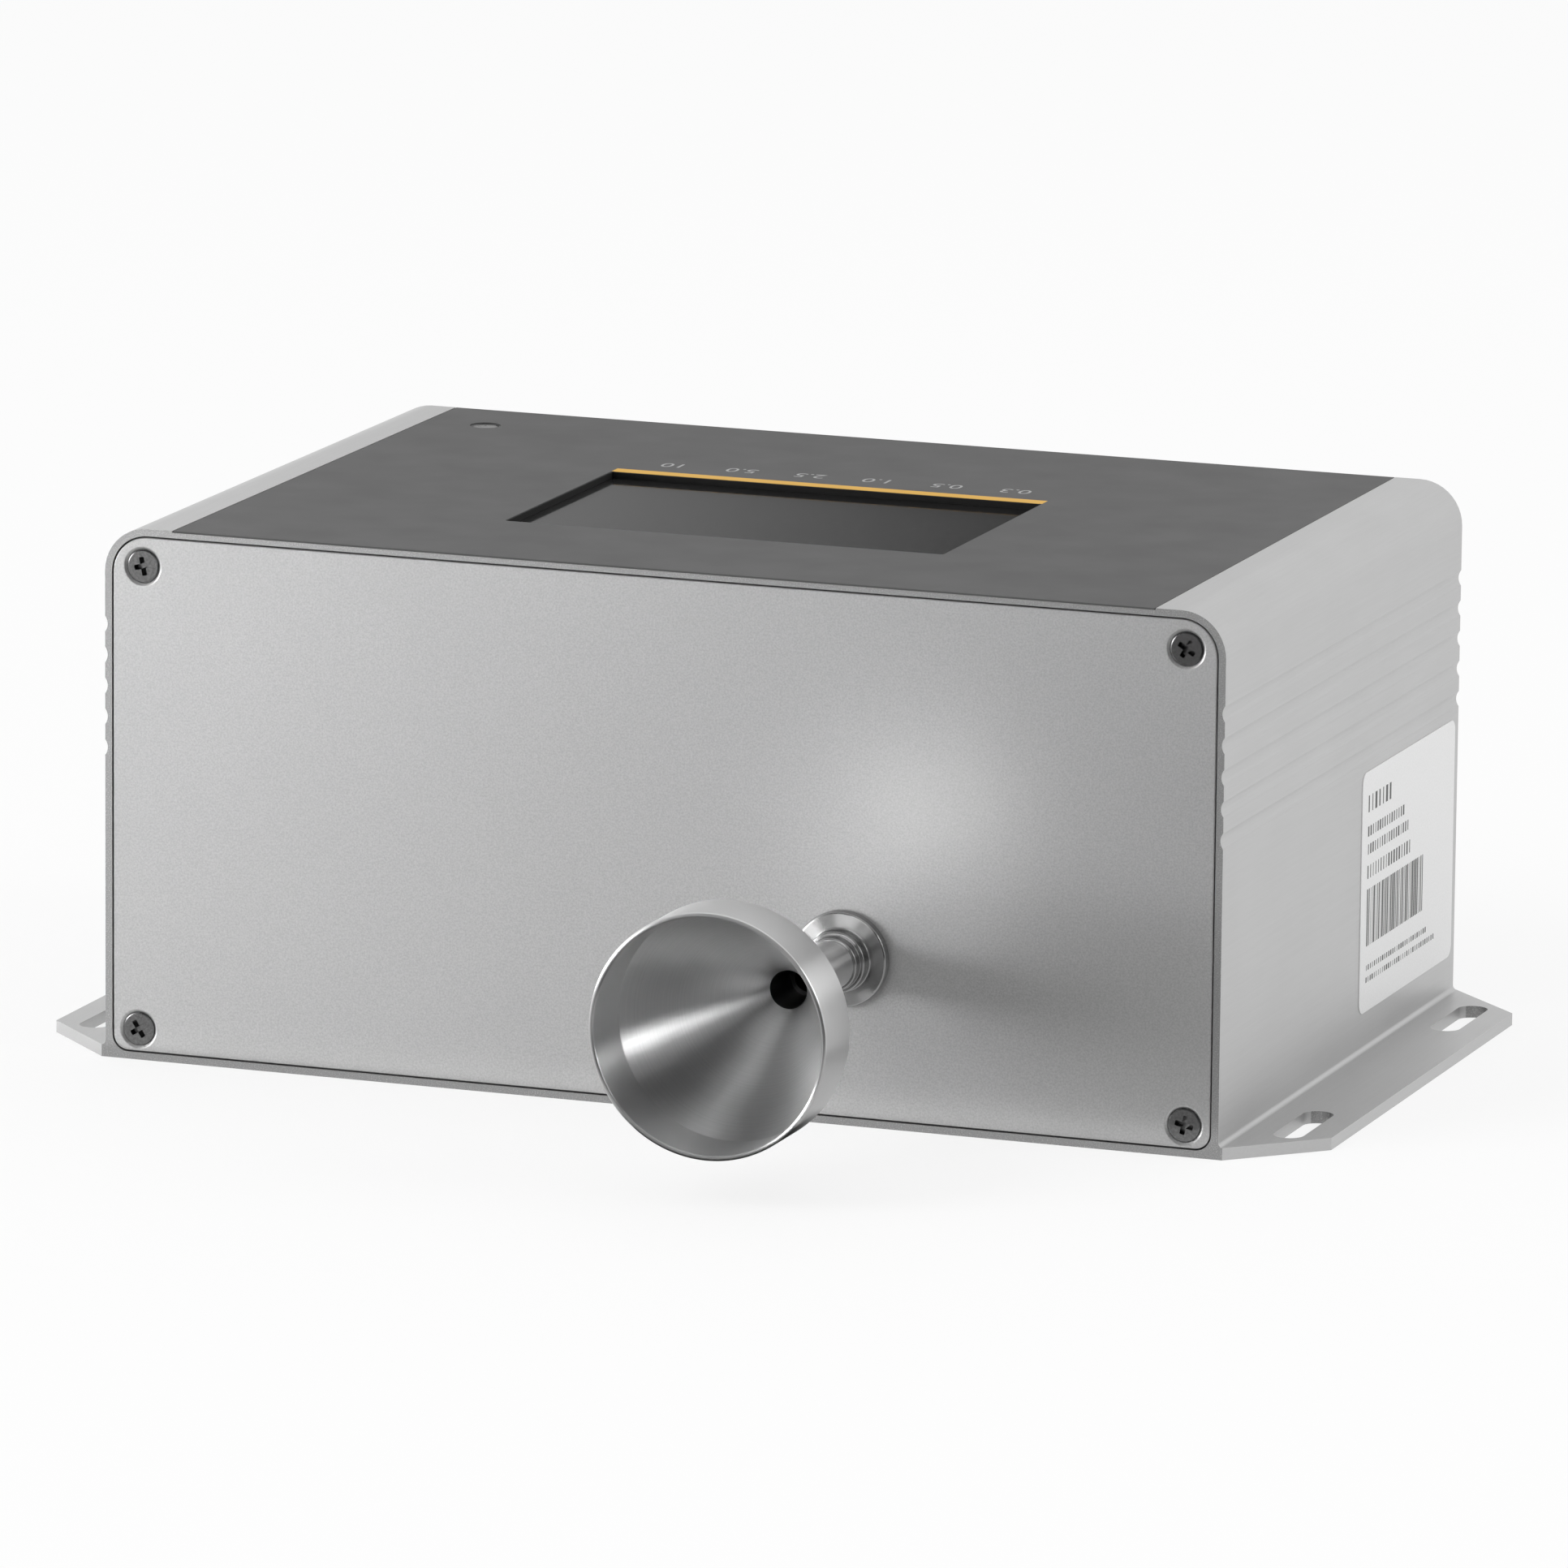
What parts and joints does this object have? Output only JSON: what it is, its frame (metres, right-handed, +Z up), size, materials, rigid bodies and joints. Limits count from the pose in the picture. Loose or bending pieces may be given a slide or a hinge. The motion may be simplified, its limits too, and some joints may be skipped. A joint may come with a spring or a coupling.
{
  "type": "airborne particle counter",
  "caption": "Remote airborne particle counter: flanged aluminium housing with a top display window, a stainless funnel inlet probe on the front and a hose outlet on the rear.",
  "frame": {"origin": "centre of the mounting face (underside) of the housing, midway along its width and depth", "axes": "+Z up out of the display, -Y out of the inlet probe, +X to the right seen from the inlet side"},
  "size_m": [0.22, 0.2008, 0.088],
  "materials": {
    "anodised_housing": "clear anodised, fine matt",
    "blasted_panel": "bead blasted, clear anodised",
    "screw_steel": "polished, cross recess",
    "grey_film": "matt printed film",
    "white_label": "satin printed label",
    "window_glass": "clear cover glass over a dark display",
    "black_foam": "closed-cell foam",
    "display_frame": "dark display frame",
    "circuit_board": "green solder mask",
    "plated_brass": "nickel-free brass",
    "flat_cable": "flat ribbon cable",
    "plug_plastic": "moulded plugs and sockets",
    "light_lens": "milky lens",
    "probe_steel": "turned and polished stainless steel",
    "fitting_steel": "turned and polished stainless steel",
    "clear_hose": "flexible antistatic hose",
    "black_anodised": "black anodised sensor body",
    "laser_brass": "turned brass module",
    "mirror_coat": "coated glass",
    "optic_glass": "ground lens",
    "blower_plastic": "glass-filled plastic",
    "wheel_plastic": "moulded wheel",
    "motor_steel": "plain steel",
    "winding_copper": "wound laminations",
    "filter_plastic": "filter shell",
    "filter_paper": "pleated glass-fibre paper",
    "chip_black": "moulded chip",
    "capacitor_can": "aluminium cans"
  },
  "bodies": {
    "counter": {"housing_extrusion": "anodised_housing", "front_panel": "blasted_panel", "rear_panel": "blasted_panel", "front_panel_screws": "screw_steel", "rear_panel_screws": "screw_steel", "top_film": "grey_film", "side_label": "white_label", "display_glass": "window_glass", "display_gasket": "black_foam", "display_module": "display_frame", "display_board": "circuit_board", "display_standoffs": "plated_brass", "display_screws": "screw_steel", "display_ribbon": "flat_cable", "ribbon_plugs": "plug_plastic", "status_light": "light_lens", "light_holder": "plug_plastic", "inlet_fitting": "fitting_steel", "inlet_washer": "screw_steel", "inlet_nut": "screw_steel", "funnel_probe": "probe_steel", "inlet_tube": "clear_hose", "sensor_block": "black_anodised", "sensor_screws": "screw_steel", "inlet_nozzle": "fitting_steel", "outlet_nozzle": "fitting_steel", "laser_module": "laser_brass", "light_trap": "black_anodised", "collection_mirror": "mirror_coat", "collection_lens": "optic_glass", "photodiode": "screw_steel", "detector_board": "circuit_board", "suction_tube": "clear_hose", "blower_housing": "blower_plastic", "blower_cover": "blower_plastic", "motor_can": "motor_steel", "motor_cap": "blower_plastic", "motor_bearings": "motor_steel", "motor_stator": "winding_copper", "blower_bracket": "blower_plastic", "bracket_screws": "screw_steel", "exhaust_tube": "clear_hose", "filter_housing": "filter_plastic", "filter_element": "filter_paper", "outlet_tube": "clear_hose", "exhaust_fitting": "fitting_steel", "exhaust_nut": "screw_steel", "hose_clamps": "screw_steel", "main_board": "circuit_board", "board_spacers": "plated_brass", "board_screws": "screw_steel", "processor_chip": "chip_black", "power_module": "chip_black", "board_capacitors": "capacitor_can", "data_socket": "plug_plastic", "power_socket": "plug_plastic"},
    "rotor": {"motor_shaft": "motor_steel", "motor_rotor": "motor_steel", "blower_wheel": "wheel_plastic"}
  },
  "joints": [
    {"name": "blower_spin", "type": "hinge", "parent": "counter", "child": "rotor", "pos_m": [0.0725, -0.02, 0.0274], "axis": [0, 1, 0], "continuous": true}
  ]
}
